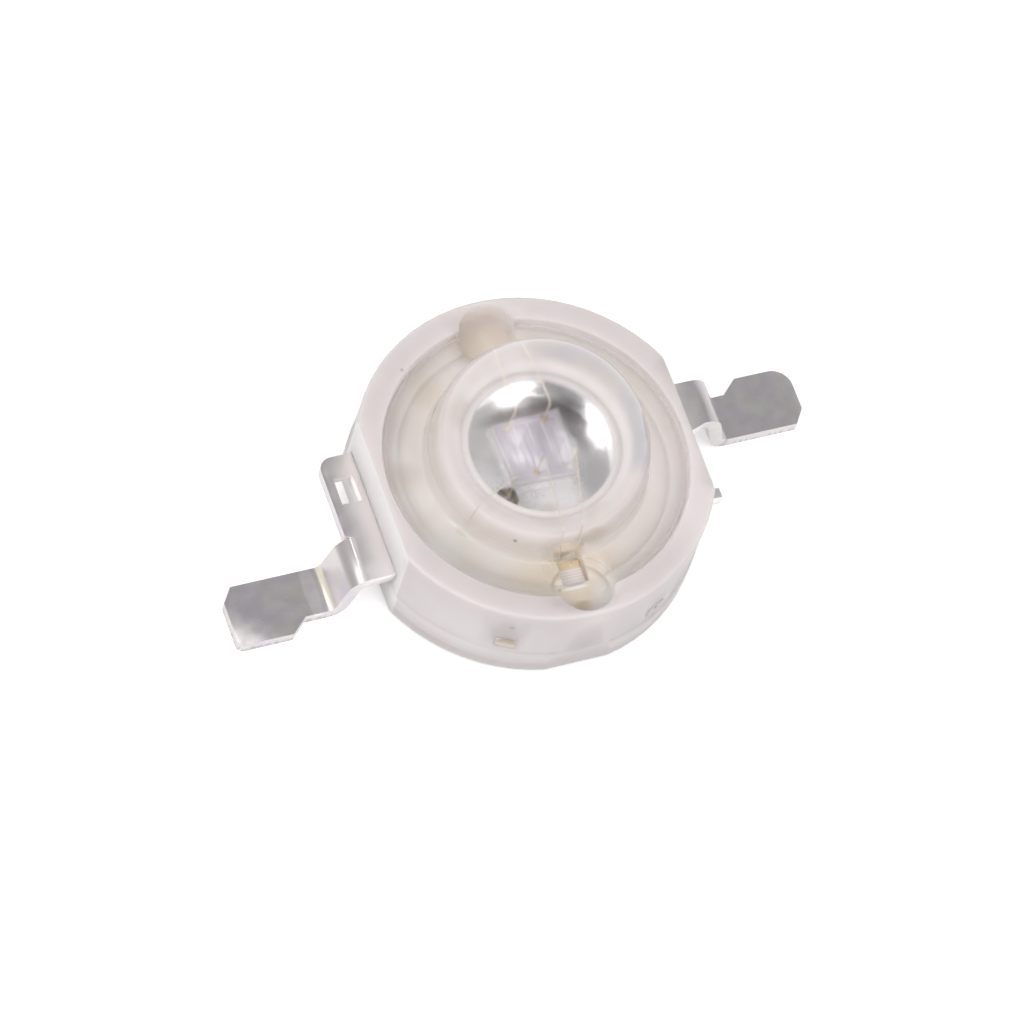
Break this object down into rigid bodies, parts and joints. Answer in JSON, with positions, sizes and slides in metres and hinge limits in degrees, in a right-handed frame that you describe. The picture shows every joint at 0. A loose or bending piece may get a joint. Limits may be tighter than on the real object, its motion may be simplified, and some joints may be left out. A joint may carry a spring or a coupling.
{
  "type": "surface-mount power LED emitter",
  "caption": "Round milky moulded emitter body with a clear dome lens over a chip in a silver reflector cup, and two bent flat leads that end in solder pads.",
  "frame": {"origin": "on the optical axis, in the plane of the board that the slug and both solder pads rest on", "axes": "+X towards the cathode lead, +Y towards the port of the cathode's bond finger, +Z the direction of the light"},
  "size_m": [0.0142, 0.008, 0.0053],
  "materials": {
    "milky_plastic": "semi-gloss, milky and translucent",
    "lead_plate": "matte silver plate on copper alloy",
    "slug_plate": "bright silver plate on copper",
    "silver_adhesive": "dull grey die adhesive",
    "chip_body": "polished semiconductor chip, pale lilac grey",
    "contact_gold": "thin gold contact metal",
    "silicon": "dark mottled silicon",
    "gold_wire": "fine gold wire",
    "clear_gel": "clear silicone, faintly amber where it is deep",
    "clear_lens": "clear moulded lens, polished"
  },
  "bodies": {
    "root": {"housing": "milky_plastic", "anode_lead": "lead_plate", "cathode_lead": "lead_plate", "tie_bar_stub": "lead_plate", "heat_slug": "slug_plate", "die_attach": "silver_adhesive", "led_chip": "chip_body", "p_electrode": "contact_gold", "n_electrode": "contact_gold", "protection_attach": "silver_adhesive", "protection_die": "silicon", "wire_p": "gold_wire", "wire_p2": "gold_wire", "wire_n": "gold_wire", "wire_n2": "gold_wire", "wire_protection": "gold_wire", "silicone_fill": "clear_gel", "lens": "clear_lens"}
  },
  "joints": []
}
